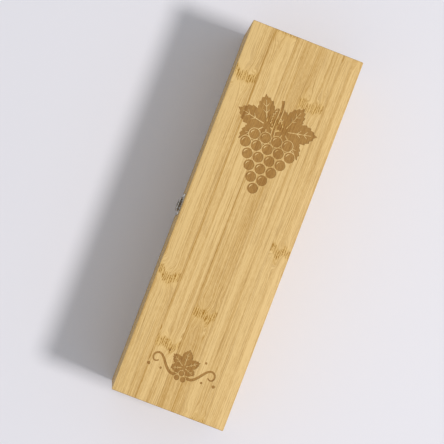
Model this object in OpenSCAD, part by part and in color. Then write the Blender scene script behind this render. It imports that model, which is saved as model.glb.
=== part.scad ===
// Hinged bamboo gift box that holds one wine bottle lying down, closed by a toggle latch.
// Origin: middle of the floor panel's underside.
// +X runs along the box, +Y from the latch side to the hinge side, +Z up.

/* [Box] */
// Length of the box outside
box_length = 356; // [300:1:420]
// Width of the box outside
box_width = 107; // [98:1:130]
// Height of the base, from its underside to the seam
base_height = 74; // [68:1:90]
// Height of the lid, from the seam to its top
lid_height = 34; // [28:1:45]
// Thickness of the front, back and end walls
wall_thickness = 8; // [7:0.5:10]
// Thickness of the lid's top panel
top_thickness = 6; // [4:0.5:8]
// Thickness of the floor panel
floor_thickness = 6; // [4:0.5:8]

/* [Corner joints] */
// Fingers on each corner of the base, both walls counted
base_fingers = 7; // [3:2:9]
// Fingers on each corner of the lid, both walls counted
lid_fingers = 3; // [1:2:5]

/* [Bottle rests] */
// Diameter of the bottle's body
bottle_body = 76; // [60:1:80]
// Diameter of the bottle's neck
bottle_neck = 30; // [24:1:36]
// Room round the bottle in its rests
bottle_room = 1; // [0.5:0.5:3]
// Height of the wood left under the bottle in the body rest
under_bottle = 5; // [3:1:10]
// Thickness of each rest board
rest_thickness = 9; // [6:0.5:12]
// Height of the body rest above the floor panel
body_rest_height = 28; // [16:1:34]
// Height of the neck rest above the floor panel
neck_rest_height = 46; // [40:1:54]
// Distance of the body rest from the middle of the box
body_rest_place = 95; // [60:1:130]
// Distance of the neck rest from the middle of the box
neck_rest_place = 100; // [70:1:130]

/* [Hinges] */
// Distance of each hinge from the middle of the box
hinge_place = 105; // [60:1:130]
// Length of each hinge
hinge_length = 26; // [22:1:40]
// Height of each leaf from the pin's centre
leaf_height = 11; // [9:0.5:14]
// Thickness of the leaves
leaf_thickness = 0.8; // [0.6:0.1:1]
// Knuckles on each hinge
knuckle_count = 5; // [3:2:7]
// Thickness of metal round the hinge pin
knuckle_wall = 0.75; // [0.5:0.05:1]
// Gap between neighbouring knuckles
knuckle_gap = 0.15; // [0.1:0.05:0.3]
// Gap between the knuckles and the wood
knuckle_stand = 0.3; // [0.2:0.05:0.5]
// Diameter of the hinge pin
hinge_pin_size = 1.4; // [1:0.1:1.8]
// Diameter of a screw's shank
screw_shank = 1.8; // [1.4:0.1:2.2]
// Diameter of a screw's countersunk head
screw_head = 3.4; // [2.8:0.1:3.8]
// Length of a screw
screw_length = 6; // [4:0.5:6.5]
// Distance between the screws of one leaf
screw_spacing = 16; // [10:1:18]

/* [Latch plates] */
// Thickness of the pressed sheet that the latch is made of
sheet = 0.6; // [0.5:0.05:0.7]
// Width of the catch plate and of the base plate
plate_width = 20.8; // [20.6:0.1:24]
// Height of the catch plate on the lid
catch_height = 11; // [10:0.5:14]
// Height of the catch plate's lower edge above the seam
catch_rise = 2; // [1:0.5:2.5]
// Width of the catch plate's middle part
catch_middle = 11; // [9:0.5:12]
// Height of the catch plate's side lobes
catch_lobe = 6.4; // [5:0.2:8]
// Width of the hook
hook_width = 6.4; // [4:0.2:7]
// Height of the hook's lip above the bail bar's centre
lip_rise = 0.35; // [0.2:0.05:0.6]
// Height of the base plate
base_plate_height = 17; // [16:0.5:20]
// Depth of the base plate's upper edge below the seam
base_plate_drop = 9.5; // [8.5:0.1:10]
// Corner radius of the base plate
plate_corner = 2.2; // [1:0.1:3]
// Distance between the nails of one row
nail_spacing = 17; // [16.8:0.1:17.2]
// Distance of the base plate's nail rows from its upper and lower edges
nail_inset = 2.8; // [2.2:0.1:3.5]
// Diameter of a nail's domed head
nail_head = 3.4; // [2.6:0.1:3.4]
// Height of a nail's domed head
nail_dome = 1.1; // [0.6:0.1:1.4]
// Diameter of a nail's shank
nail_shank = 1.2; // [0.8:0.1:1.4]
// Length of a nail under its head
nail_length = 6; // [4:0.5:6.5]

/* [Latch lever] */
// Depth of the lever's pivot below the seam
pivot_drop = 12; // [11.5:0.1:12.5]
// Distance of the lever's pivot from the front wall
pivot_out = 2; // [1.9:0.05:2.3]
// Diameter of the lever's pivot pin
lever_pin_size = 1.2; // [0.8:0.1:1.2]
// Distance from the lever's pivot to the bail's pivot
crank = 3.6; // [3.4:0.05:3.8]
// Angle by which the closed lever stands past its dead centre
crank_lean = 6; // [3:0.5:8]
// Width of the lever across its side flanges
lever_width = 8.4; // [8:0.1:8.6]
// Length of the lever below its pivot
lever_length = 19; // [18.5:0.1:21]
// Radius of the lever's rounded tail
tail_radius = 6.2; // [5:0.1:6.5]
// Distance from the lever's pivot to the inside of its web
web_stand = 1.1; // [1.1:0.05:1.3]
// Length of the lever's web above its pivot
web_top = 0.9; // [0.6:0.1:1]
// Depth by which the web dips towards the base plate below the pivots
web_dip = 1.1; // [0.8:0.05:1.1]
// Share of the web's length at which its dip starts
dip_from = 0.25; // [0.22:0.01:0.35]
// Share of the web's length at which its dip is deepest
dip_to = 0.7; // [0.5:0.01:0.72]
// Height by which the tail lifts off again for a fingertip
web_lift = 1; // [0.6:0.1:1.3]
// Share of the web's length at which the tail starts to lift
lift_from = 0.72; // [0.72:0.01:0.8]
// Share of the web's length that its side flanges reach down to
flange_share = 0.6; // [0.45:0.05:0.7]
// Radius of the lever's flanges round its two pivots
flange_radius = 1.2; // [1.1:0.05:1.25]
// Gap between each ear of the base plate and the flange beside it
ear_gap = 0.2; // [0.1:0.05:0.3]
// Thickness of the ears
ear_thickness = 0.8; // [0.6:0.1:1]
// Radius of the ears round the pivot pin
ear_radius = 0.95; // [0.85:0.05:0.95]

/* [Latch bail] */
// Diameter of the bail's wire
bail_wire = 1.3; // [1.1:0.05:1.4]
// Distance between the centre lines of the bail's legs
bail_span = 10.4; // [10.3:0.1:10.8]
// Radius of the bail's bends along the centre line
bail_bend = 1.5; // [1:0.1:1.6]
// Height of the bail's bar above the seam
bar_rise = 6; // [5.5:0.1:7]
// Distance of the bail's bar from the front wall
bar_out = 2.75; // [2.7:0.05:3]
// Room between the bail's bar and the hook round it
hook_room = 0.3; // [0.25:0.05:0.35]
// Radius of the bail's eyes
eye_radius = 1.15; // [1:0.05:1.2]
// Thickness of the bail's eyes, pressed flatter than the wire
eye_thickness = 1; // [0.7:0.05:1]
// Diameter of the pin through the bail's eyes
bail_pin_size = 1; // [0.8:0.1:1]
// Diameter of the bail pin's heads
bail_pin_head = 1.7; // [1.4:0.1:1.8]
// Thickness of the bail pin's heads
bail_pin_cap = 0.4; // [0.3:0.05:0.5]

/* [Fits] */
// Radial clearance of every pin in a part that turns on it
turning_clearance = 0.05; // [0.03:0.01:0.08]
// Radial clearance of every pin, nail and screw in a part that holds it
seat_clearance = 0.01; // [0.01:0.01:0.03]
// Sideways gap between latch parts that move past each other
side_gap = 0.15; // [0.1:0.05:0.2]

/* [Hidden] */
$fn = 48;
notch_facets = 96;
dome_step = 15;

bamboo = "burlywood";
bamboo_end = "tan";
steel = "silver";
bright_steel = "gainsboro";

// Box
half_length = box_length / 2;
half_width = box_width / 2;
inner_width = box_width - 2 * wall_thickness;
base_wall_height = base_height - floor_thickness;
lid_wall_height = lid_height - top_thickness;

// Bottle, measured from the floor panel's upper face
body_notch_radius = bottle_body / 2 + bottle_room;
neck_notch_radius = bottle_neck / 2 + bottle_room;
bottle_axis_height = under_bottle + body_notch_radius;

// Hinges, measured outward from the back wall and upward from the seam
knuckle_radius = hinge_pin_size / 2 + knuckle_wall;
hinge_axis_out = knuckle_stand + knuckle_radius;
knuckle_pitch = hinge_length / knuckle_count;
leaf_relief = knuckle_radius + knuckle_stand;
screw_row = (leaf_relief + leaf_height) / 2;
hinge_screws = [for (side = [-1, 1]) side * screw_spacing / 2];

// Latch, measured outward from the front wall and upward from the seam
catch_middle_height = catch_rise + catch_height / 2;
catch_nails = [for (side = [-1, 1]) [side * nail_spacing / 2, catch_middle_height]];
base_plate_top = -base_plate_drop;
base_plate_bottom = base_plate_top - base_plate_height;
base_nail_rows = [base_plate_top - nail_inset, base_plate_bottom + nail_inset];
base_nails = [for (side = [-1, 1], row = base_nail_rows) [side * nail_spacing / 2, row]];
hook_inner_radius = bail_wire / 2 + hook_room;
hook_outer_radius = hook_inner_radius + sheet;

// The bail's pivot as seen from the lever's pivot, with the lever closed
crank_out = -crank * sin(crank_lean);
crank_up = -crank * cos(crank_lean);
bail_pivot_out = pivot_out + crank_out;
bail_pivot_up = -pivot_drop + crank_up;
bail_reach = norm([bar_out - bail_pivot_out, bar_rise - bail_pivot_up]);
bail_lean = atan2(bar_out - bail_pivot_out, bar_rise - bail_pivot_up);
leg_place = bail_span / 2;
bail_pin_half = leg_place + bail_wire / 2 + side_gap;
window_half_width = bail_pin_half + bail_pin_cap + side_gap;
window_top = -pivot_drop - ear_radius - side_gap;
window_bottom = bail_pivot_up - flange_radius - side_gap;

// The lever's web, seen from the side with the lever's pivot at zero. A share of its length is 0 at
// the upper end and 1 at the tail. The tail's round outline runs a little past the web's own end.
web_steps = 24;
tail_overrun = 0.4;
tail_centre = tail_radius - lever_length - tail_overrun;
function eased(t) = let (u = max(0, min(1, t))) u * u * (3 - 2 * u);
function web_up(share) = web_top - share * (lever_length + web_top);
function web_in(share) = web_stand - web_dip * eased((share - dip_from) / (dip_to - dip_from))
    + web_lift * eased((share - lift_from) / (1 - lift_from));
web_shares = [for (step = [0:web_steps]) step / web_steps];
web_inside = [for (share = web_shares) [web_in(share), web_up(share)]];
web_outside = [for (share = web_shares) [web_in(1 - share) + sheet, web_up(1 - share)]];
flange_shares = [for (share = web_shares) if (share <= flange_share) share];
flange_edge = [for (share = flange_shares) [web_in(share) + sheet / 2, web_up(share)]];
flange_side = flange_radius * [-cos(crank_lean), sin(crank_lean)];

// Puts a part on the front wall: its Y runs outward and its zero height is the seam
module on_front() translate([0, -half_width, base_height]) rotate([0, 0, 180]) children();

// The same on the back wall, at a hinge's place along the box
module on_back(place) translate([place, half_width, base_height]) children();

// Extrudes a side view, drawn as outward and upward, to a width centred on X = 0
module across(width) rotate([90, 0, 90]) linear_extrude(width, center = true) children();

// Extrudes a front view, drawn as X and upward, from one distance off the wall to another
module outward(from, to) translate([0, to, 0]) rotate([90, 0, 0]) linear_extrude(to - from) children();

// A round bar along X
module crossbar(radius, length) rotate([0, 90, 0]) cylinder(r = radius, h = length, center = true);

// Notches that leave every second finger standing at both ends of a wall's corner zone
module finger_notches(size, zone, bottom, height, count, first) {
    pitch = height / count;
    for (end = [-1, 1], step = [first:2:count - 1])
        translate([end * (size - zone) / 2, 0, bottom + (step + 0.5) * pitch])
            cube([zone, 2 * zone, pitch], center = true);
}

// A front or back wall: it keeps the lowest and highest fingers
module long_wall(bottom, height, count) difference() {
    translate([-half_length, 0, bottom]) cube([box_length, wall_thickness, height]);
    translate([0, wall_thickness / 2, 0])
        finger_notches(box_length, wall_thickness, bottom, height, count, 1);
}

// An end wall: its fingers fill the gaps in the long walls
module end_wall(bottom, height, count) difference() {
    translate([0, -half_width, bottom]) cube([wall_thickness, box_width, height]);
    translate([wall_thickness / 2, 0, 0]) rotate([0, 0, 90])
        finger_notches(box_width, wall_thickness, bottom, height, count, 0);
}

// A nail with a domed head, its axis outward and its head seated at the origin
module nail(room = 0) rotate([-90, 0, 0]) rotate_extrude() polygon(concat(
    [[0, -nail_length - room]],
    [for (up = [nail_shank - nail_length, 0]) [nail_shank / 2 + room, up]],
    [for (turn = [0:dome_step:90]) [(nail_head / 2) * cos(turn), nail_dome * sin(turn)]]
));

// A countersunk screw, its axis outward and its head flush with the origin
module screw(room = 0) rotate([-90, 0, 0]) rotate_extrude() polygon([
    [0, -screw_length - room],
    [screw_shank / 2 + room, screw_shank - screw_length],
    [screw_shank / 2 + room, (screw_shank - screw_head) / 2],
    [screw_head / 2 + room, 0],
    [screw_head / 2 + room, room],
    [0, room]
]);

module at_screws(up) for (place = [-hinge_place, hinge_place], x = hinge_screws)
    on_back(place) translate([x, leaf_thickness, up]) children();

module at_nails(places) on_front() for (spot = places) translate([spot[0], sheet, spot[1]]) children();

// Base
module base_floor() color(bamboo)
    translate([-half_length, -half_width, 0]) cube([box_length, box_width, floor_thickness]);

module base_front() color(bamboo) difference() {
    translate([0, -half_width, 0]) long_wall(floor_thickness, base_wall_height, base_fingers);
    at_nails(base_nails) nail(seat_clearance);
}

module base_back() color(bamboo) difference() {
    translate([0, half_width - wall_thickness, 0])
        long_wall(floor_thickness, base_wall_height, base_fingers);
    at_screws(-screw_row) screw(seat_clearance);
}

module base_left_end() color(bamboo_end)
    translate([-half_length, 0, 0]) end_wall(floor_thickness, base_wall_height, base_fingers);

module base_right_end() color(bamboo_end)
    translate([half_length - wall_thickness, 0, 0])
        end_wall(floor_thickness, base_wall_height, base_fingers);

// A board across the base with a round notch that the bottle lies in
module rest_board(place, height, notch_radius) color(bamboo_end)
    translate([place, 0, floor_thickness]) across(rest_thickness) difference() {
        translate([-inner_width / 2, 0]) square([inner_width, height]);
        translate([0, bottle_axis_height]) circle(notch_radius, $fn = notch_facets);
        translate([-notch_radius, bottle_axis_height]) square([2 * notch_radius, height]);
    }

module neck_rest() rest_board(-neck_rest_place, neck_rest_height, neck_notch_radius);

module body_rest() rest_board(body_rest_place, body_rest_height, body_notch_radius);

// Lid
module lid_top() color(bamboo)
    translate([-half_length, -half_width, base_height + lid_wall_height])
        cube([box_length, box_width, top_thickness]);

module lid_front() color(bamboo) difference() {
    translate([0, -half_width, 0]) long_wall(base_height, lid_wall_height, lid_fingers);
    at_nails(catch_nails) nail(seat_clearance);
}

module lid_back() color(bamboo) difference() {
    translate([0, half_width - wall_thickness, 0]) long_wall(base_height, lid_wall_height, lid_fingers);
    at_screws(screw_row) screw(seat_clearance);
}

module lid_left_end() color(bamboo_end)
    translate([-half_length, 0, 0]) end_wall(base_height, lid_wall_height, lid_fingers);

module lid_right_end() color(bamboo_end)
    translate([half_length - wall_thickness, 0, 0]) end_wall(base_height, lid_wall_height, lid_fingers);

// Hinges: the base leaf holds the pin in every second knuckle, and the lid leaf turns on it
module knuckles(first) for (step = [first:2:knuckle_count - 1])
    translate([(step + 0.5) * knuckle_pitch - hinge_length / 2, 0, 0]) children();

// One leaf, reaching up if way is 1 and down if way is -1
module hinge_leaf(place, first, way, bore_clearance) color(steel) on_back(place) difference() {
    union() {
        outward(0, leaf_thickness) translate([-hinge_length / 2, min(way * leaf_relief, way * leaf_height)])
            square([hinge_length, leaf_height - leaf_relief]);
        knuckles(first) across(knuckle_pitch - knuckle_gap) {
            translate([0, min(0, way * leaf_height)]) square([leaf_thickness, leaf_height]);
            translate([hinge_axis_out, 0]) circle(knuckle_radius);
        }
    }
    translate([0, hinge_axis_out, 0]) crossbar(hinge_pin_size / 2 + bore_clearance, 2 * hinge_length);
    for (x = hinge_screws) translate([x, leaf_thickness, way * screw_row]) screw(seat_clearance);
}

module hinge_pin(place) color(bright_steel)
    on_back(place) translate([0, hinge_axis_out, 0]) crossbar(hinge_pin_size / 2, hinge_length);

module left_hinge_base_leaf() hinge_leaf(-hinge_place, 0, -1, seat_clearance);

module left_hinge_lid_leaf() hinge_leaf(-hinge_place, 1, 1, turning_clearance);

module left_hinge_pin() hinge_pin(-hinge_place);

module right_hinge_base_leaf() hinge_leaf(hinge_place, 0, -1, seat_clearance);

module right_hinge_lid_leaf() hinge_leaf(hinge_place, 1, 1, turning_clearance);

module right_hinge_pin() hinge_pin(hinge_place);

module hinge_base_screws() color(bright_steel) at_screws(-screw_row) screw();

module hinge_lid_screws() color(bright_steel) at_screws(screw_row) screw();

// Latch catch: a plate on the lid with a hook that opens upward
module hook_view() {
    translate([0, bar_rise - hook_outer_radius]) square([bar_out, sheet]);
    translate([bar_out, bar_rise]) {
        difference() {
            circle(hook_outer_radius);
            circle(hook_inner_radius);
            translate([-2 * hook_outer_radius, -hook_outer_radius])
                square(2 * hook_outer_radius);
            square(2 * hook_outer_radius);
        }
        translate([hook_inner_radius, 0]) square([sheet, lip_rise]);
    }
}

module latch_catch_plate() color(steel) on_front() difference() {
    union() {
        outward(0, sheet) {
            translate([-catch_middle / 2, catch_rise]) square([catch_middle, catch_height]);
            translate([0, catch_middle_height]) {
                square([plate_width - catch_lobe, catch_lobe], center = true);
                for (side = [-1, 1])
                    translate([side * (plate_width - catch_lobe) / 2, 0]) circle(catch_lobe / 2);
            }
        }
        across(hook_width) hook_view();
    }
    for (spot = catch_nails) translate([spot[0], sheet, spot[1]]) nail(seat_clearance);
}

module latch_catch_nails() color(bright_steel) at_nails(catch_nails) nail();

// Latch base plate: two ears hold the lever's pin, and a window clears the bail's eyes
module base_plate_outline() {
    inner_half = plate_width / 2 - plate_corner;
    translate([-inner_half, base_plate_bottom]) square([2 * inner_half, base_plate_height]);
    translate([-plate_width / 2, base_plate_bottom + plate_corner])
        square([plate_width, base_plate_height - 2 * plate_corner]);
    for (x = [-inner_half, inner_half])
        for (up = [base_plate_bottom + plate_corner, base_plate_top - plate_corner])
            translate([x, up]) circle(plate_corner);
}

module latch_base_plate() {
    ear_place = lever_width / 2 - sheet - ear_gap - ear_thickness / 2;
    color(steel) on_front() difference() {
        union() {
            outward(0, sheet) difference() {
                base_plate_outline();
                translate([-window_half_width, window_bottom])
                    square([2 * window_half_width, window_top - window_bottom]);
            }
            for (side = [-1, 1]) translate([side * ear_place, 0, 0]) across(ear_thickness) {
                translate([0, -pivot_drop - ear_radius]) square([pivot_out, 2 * ear_radius]);
                translate([pivot_out, -pivot_drop]) circle(ear_radius);
            }
        }
        translate([0, pivot_out, -pivot_drop]) crossbar(lever_pin_size / 2 + seat_clearance, lever_width);
        for (spot = base_nails) translate([spot[0], sheet, spot[1]]) nail(seat_clearance);
    }
}

module latch_base_nails() color(bright_steel) at_nails(base_nails) nail();

// Latch lever: a bent web with a rounded tail, between two side flanges
module lever_outline() {
    translate([-lever_width / 2, tail_centre]) square([lever_width, web_top - tail_centre]);
    translate([0, tail_centre]) circle(tail_radius);
}

module flange_view() {
    circle(flange_radius);
    translate([crank_out, crank_up]) circle(flange_radius);
    polygon(concat(flange_edge, [[crank_out, crank_up] + flange_side, flange_side, [0, web_top]]));
}

module latch_lever() color(steel) on_front() translate([0, pivot_out, -pivot_drop]) difference() {
    union() {
        intersection() {
            across(2 * tail_radius) polygon(concat(web_inside, web_outside));
            outward(-lever_length, lever_length) lever_outline();
        }
        for (side = [-1, 1]) translate([side * (lever_width - sheet) / 2, 0, 0])
            across(sheet) flange_view();
    }
    crossbar(lever_pin_size / 2 + turning_clearance, 2 * lever_width);
    translate([0, crank_out, crank_up])
        crossbar(bail_pin_size / 2 + turning_clearance, 2 * lever_width);
}

module latch_lever_pin() color(bright_steel)
    on_front() translate([0, pivot_out, -pivot_drop])
        crossbar(lever_pin_size / 2, lever_width + side_gap);

// Latch bail: a wire loop whose bar lies in the hook and whose eyes turn on a pin through the lever
module latch_bail_pin() color(bright_steel) on_front() translate([0, bail_pivot_out, bail_pivot_up]) {
    crossbar(bail_pin_size / 2, 2 * bail_pin_half);
    for (side = [-1, 1]) translate([side * (bail_pin_half + bail_pin_cap / 2), 0, 0])
        crossbar(bail_pin_head / 2, bail_pin_cap);
}

module latch_bail() color(bright_steel)
    on_front() translate([0, bail_pivot_out, bail_pivot_up]) rotate([-bail_lean, 0, 0]) difference() {
        union() {
            translate([0, 0, bail_reach]) crossbar(bail_wire / 2, 2 * (leg_place - bail_bend));
            for (side = [0, 1]) mirror([side, 0, 0]) {
                translate([leg_place, 0, 0]) {
                    crossbar(eye_radius, eye_thickness);
                    cylinder(d = bail_wire, h = bail_reach - bail_bend);
                }
                translate([leg_place - bail_bend, 0, bail_reach - bail_bend]) rotate([90, 0, 0])
                    rotate_extrude(angle = 90) translate([bail_bend, 0]) circle(d = bail_wire);
            }
        }
        crossbar(bail_pin_size / 2 + turning_clearance, 2 * bail_span);
    }

base_floor();
base_front();
base_back();
base_left_end();
base_right_end();
neck_rest();
body_rest();
lid_top();
lid_front();
lid_back();
lid_left_end();
lid_right_end();
left_hinge_base_leaf();
left_hinge_lid_leaf();
left_hinge_pin();
right_hinge_base_leaf();
right_hinge_lid_leaf();
right_hinge_pin();
hinge_base_screws();
hinge_lid_screws();
latch_catch_plate();
latch_catch_nails();
latch_base_plate();
latch_base_nails();
latch_lever();
latch_lever_pin();
latch_bail_pin();
latch_bail();
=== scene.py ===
import math
import random
import bmesh
import bpy
from mathutils import Matrix, Vector
from mathutils.geometry import delaunay_2d_cdt


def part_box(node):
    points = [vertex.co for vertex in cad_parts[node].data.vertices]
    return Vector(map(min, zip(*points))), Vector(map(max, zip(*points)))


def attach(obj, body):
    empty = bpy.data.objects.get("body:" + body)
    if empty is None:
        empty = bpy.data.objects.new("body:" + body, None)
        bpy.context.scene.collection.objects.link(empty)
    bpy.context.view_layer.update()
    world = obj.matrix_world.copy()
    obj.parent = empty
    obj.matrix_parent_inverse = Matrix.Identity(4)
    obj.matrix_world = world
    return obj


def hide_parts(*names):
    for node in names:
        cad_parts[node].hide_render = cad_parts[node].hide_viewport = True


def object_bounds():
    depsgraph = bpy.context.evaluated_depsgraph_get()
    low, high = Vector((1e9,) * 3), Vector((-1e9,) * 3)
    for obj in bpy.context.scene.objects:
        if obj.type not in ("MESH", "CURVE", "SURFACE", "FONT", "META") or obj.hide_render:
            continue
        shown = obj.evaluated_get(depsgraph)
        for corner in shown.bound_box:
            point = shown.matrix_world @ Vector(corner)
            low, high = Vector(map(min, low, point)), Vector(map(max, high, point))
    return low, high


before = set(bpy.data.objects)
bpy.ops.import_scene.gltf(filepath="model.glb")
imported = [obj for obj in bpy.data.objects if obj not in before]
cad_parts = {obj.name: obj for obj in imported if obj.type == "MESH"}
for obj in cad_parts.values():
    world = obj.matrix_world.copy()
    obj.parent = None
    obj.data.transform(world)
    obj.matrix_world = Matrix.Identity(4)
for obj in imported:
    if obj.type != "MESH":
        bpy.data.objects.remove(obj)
cad_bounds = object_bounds()

# ---------------------------------------------------------------------------------------------
# Base floor: one flat panel of bamboo. Split bamboo is planed into strips about 21 mm wide, and
# the strips are glued side by side, so each has its own tone, fibres and nodes. The panel is
# sanded with the walls that are glued on it, and only the outer arrises are rounded.
MM = 0.001
SPECK = 0.001 * MM
HAIR = 0.01 * MM
STRIP_WIDTH = 21.4 * MM
NARROWEST = 0.3 * STRIP_WIDTH
NODE_SHIFT = 0.15
NODE_SPACING = (0.19, 0.32)
TONE_RANGE = (0.1, 0.55)
SIDE_TONE = 0.5
ARRIS, ARRIS_STEPS = 1.1 * MM, 4
RIM_EASED, RIM_STEPS = 0.4 * MM, 2
EASED, EASED_STEPS = 0.18 * MM, 1
RIM_GAP = 0.12 * MM
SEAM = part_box("lid_front")[0].z
SAWN = 0.96
CORNER_ANGLE = math.radians(50)
SHARP_ANGLE = math.radians(20)
SIDE_FACING = 0.7
END_FACING = 0.8
PANEL = (0, 1, 2)
FLOOR_SEED = 11
box_low, box_high = (Vector(corner) for corner in cad_bounds[:2])
outer_low = Vector((box_low.x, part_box("lid_top")[0].y, 0))
outer_high = Vector((box_high.x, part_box("lid_top")[1].y, box_high.z))


def swatch(red, green, blue):
    """A colour written as it looks on a screen, 0 to 255, as the linear values a shader takes."""
    shares = (red / 255, green / 255, blue / 255)
    return (*(s / 12.92 if s < 0.04045 else ((s + 0.055) / 1.055) ** 2.4 for s in shares), 1)


PALE = swatch(225, 192, 129)
AMBER = swatch(175, 130, 52)
HALO = swatch(232, 196, 122)
NODE_BROWN = swatch(158, 112, 22)
SEAM_BROWN = swatch(138, 95, 38)
END_PALE = swatch(190, 152, 98)
END_FIBRE = swatch(120, 84, 46)
WOOD = {"metallic": 0.0, "shine": 0.25, "relief": 0.1 * MM, "strength": 0.5}


def add(tree, kind, sockets=(), **settings):
    """Adds a shader node. A socket's value may be another node's output, which is linked."""
    made = tree.nodes.new("ShaderNode" + kind)
    for key, value in settings.items():
        setattr(made, key, value)
    for key, value in sockets.items() if isinstance(sockets, dict) else enumerate(sockets):
        if isinstance(value, bpy.types.NodeSocket):
            tree.links.new(value, made.inputs[key])
        else:
            made.inputs[key].default_value = value
    return made


def tree_of(*values):
    """The shader tree that the first socket among some values belongs to."""
    return next(value.id_data for value in values if isinstance(value, bpy.types.NodeSocket))


def calc(operation, *values, clamp=False):
    """One step of arithmetic on numbers and sockets."""
    return add(tree_of(*values), "Math", values, operation=operation, use_clamp=clamp).outputs[0]


def times(first, second, rise=0.0):
    """The product of two values, raised by a third."""
    return calc("MULTIPLY_ADD", first, second, rise)


def swing(value, reach):
    """A value between 0 and 1, spread evenly about 0 over a reach."""
    return times(value, reach, -reach / 2)


def summed(start, terms):
    """A start with each value added by its own weight."""
    for value, weight in terms:
        start = times(value, weight, start)
    return start


def fade(value, start, end, low=0.0, high=1.0):
    """Goes smoothly from low, where the value is start, to high, where it is end."""
    sockets = (value, start, end, low, high)
    return add(value.id_data, "MapRange", sockets, interpolation_type="SMOOTHSTEP").outputs["Result"]


def tint(share, first, second, mode="MIX"):
    """Mixes two colours, which are the Mix node's inputs 6 and 7."""
    sockets = {0: share, 6: first, 7: second}
    return add(tree_of(share, first), "Mix", sockets, data_type="RGBA", blend_type=mode).outputs[2]


def noise(vector, scale, detail=2.0, rough=0.5):
    """Noise with its own scale on each axis."""
    stretched = add(vector.id_data, "VectorMath", (vector, scale), operation="MULTIPLY").outputs[0]
    sockets = {"Vector": stretched, "Scale": 1.0, "Detail": detail, "Roughness": rough}
    return add(vector.id_data, "TexNoise", sockets).outputs["Fac"]


def own(tree, name):
    """The vector that a board carries under a name."""
    return add(tree, "Attribute", attribute_name=name).outputs["Vector"]


def parted(vector):
    """The three numbers of a vector."""
    return add(vector.id_data, "SeparateXYZ", (vector,)).outputs


def group(name, inputs=()):
    """An empty shader group for a colour, a roughness and a height, and its input and output."""
    tree = bpy.data.node_groups.new(name, "ShaderNodeTree")
    for label, kind in (("Color", "Color"), ("Roughness", "Float"), ("Height", "Float")):
        tree.interface.new_socket(label, in_out="OUTPUT", socket_type="NodeSocket" + kind)
    for label in inputs:
        tree.interface.new_socket(label, in_out="INPUT", socket_type="NodeSocketFloat")
    return tree, tree.nodes.new("NodeGroupInput"), tree.nodes.new("NodeGroupOutput")


def close(output, *values):
    """Links a colour, a roughness and a height to a group's output."""
    for value, socket in zip(values, output.inputs):
        output.id_data.links.new(value, socket)


# The wood's noises, each with its scale per millimetre along, across and through a strip, its
# octaves and their strength
FIBRES = ((0.005, 0.9, 0.9), 5, 0.75)
STREAKS = ((0.004, 0.5, 0.5), 2)
PATCHES = ((0.0035, 0.13, 0.13), 1)
PORES = ((0.03, 1.5, 1.5), 2, 0.6)
FLECKS = ((0.22, 1.1, 1.1), 2, 0.6)
NODE_DRIFT = ((0.01, 0.16, 0.16), 0)
NODE_RAGS = ((0.02, 1.0, 0.2), 1)
FIBRE_BENDS = ((0.045, 0.14, 0.14), 1)
TICK_SWAY = ((0.1, 0.4, 0.4), 1)
TICK_LENGTHS = ((0.5, 1.6, 1.6), 2)
TICK_BREAKS = ((0.75, 1.0, 1.0), 2, 0.6)
END_WAVES = ((0.0, 0.25, 0.25), 1)
END_MOTTLE = ((0.0, 0.6, 0.6), 3, 0.6)
# How far each of them moves the tone, and in millimetres the nodes and the fibres round them
FIBRE_TONE = (2.6, -1.35)
STREAK_TONE, PATCH_TONE, FLECK_TONE = 0.7, 0.8, 0.9
SIDE_STREAKS = 2.0
NODE_BOW, DRIFT_REACH, RAG_REACH, BEND_REACH = 1.8, 13.0, 6.4, 16.0
TICKS_PER_MM, SWAY_REACH, LENGTH_REACH = 3.3, 11.0, 2.8
# Where each mark fades in and out, and how strong it is
PORE_FADE = (0.52, 0.66)
SIDE_FADE = (0.66, 1.0)
BEND_FADE = (30.0, 1.0)
BAND_FADE = (5.4, 3.0)
HALO_FADE = (14.0, 2.0)
DARK_FADE = (-0.15, 0.6)
BREAK_FADE = (0.4, 0.56, 0.25, 1.15)
PALE_FADE = (0.3, -0.5)
GLUE_FADE = (0.35, 0.05)
PORE_SHARE, HALO_SHARE, BAND_SHARE, PALE_SHARE, GLUE_SHARE = 0.3, 0.2, 0.35, 0.6, 0.35
BOLDNESS = (0.45, 0.62)
BOLD_DRAW = 7.3
# Roughness of planed wood, and what fibres and pores add to it
WOOD_ROUGH, FIBRE_ROUGH, PORE_ROUGH = 0.4, 0.16, 0.12
# Relief of fibres, pores, flecks, ticks and glue seams
WOOD_RELIEF = (0.8, -0.35, -0.4, -0.9, -1.0)
SEED_STRIDE = (3110.0, 970.0, 530.0)


def strip_space(tree):
    """Place within a strip in millimetres, and the same shifted by the strip's seed."""
    seed = parted(own(tree, "strip"))[0]
    place = add(tree, "VectorMath", {0: own(tree, "grain"), "Scale": 1 / MM}, operation="SCALE").outputs[0]
    shift = add(tree, "VectorMath", {0: SEED_STRIDE, "Scale": seed}, operation="SCALE").outputs[0]
    return place, add(tree, "VectorMath", (place, shift), operation="ADD").outputs[0]


def glue_seam(edge):
    """A thin line at each side of a strip."""
    gap = times(calc("ABSOLUTE", edge), -STRIP_WIDTH / 2 / MM, STRIP_WIDTH / 2 / MM)
    return fade(gap, *GLUE_FADE)


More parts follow.
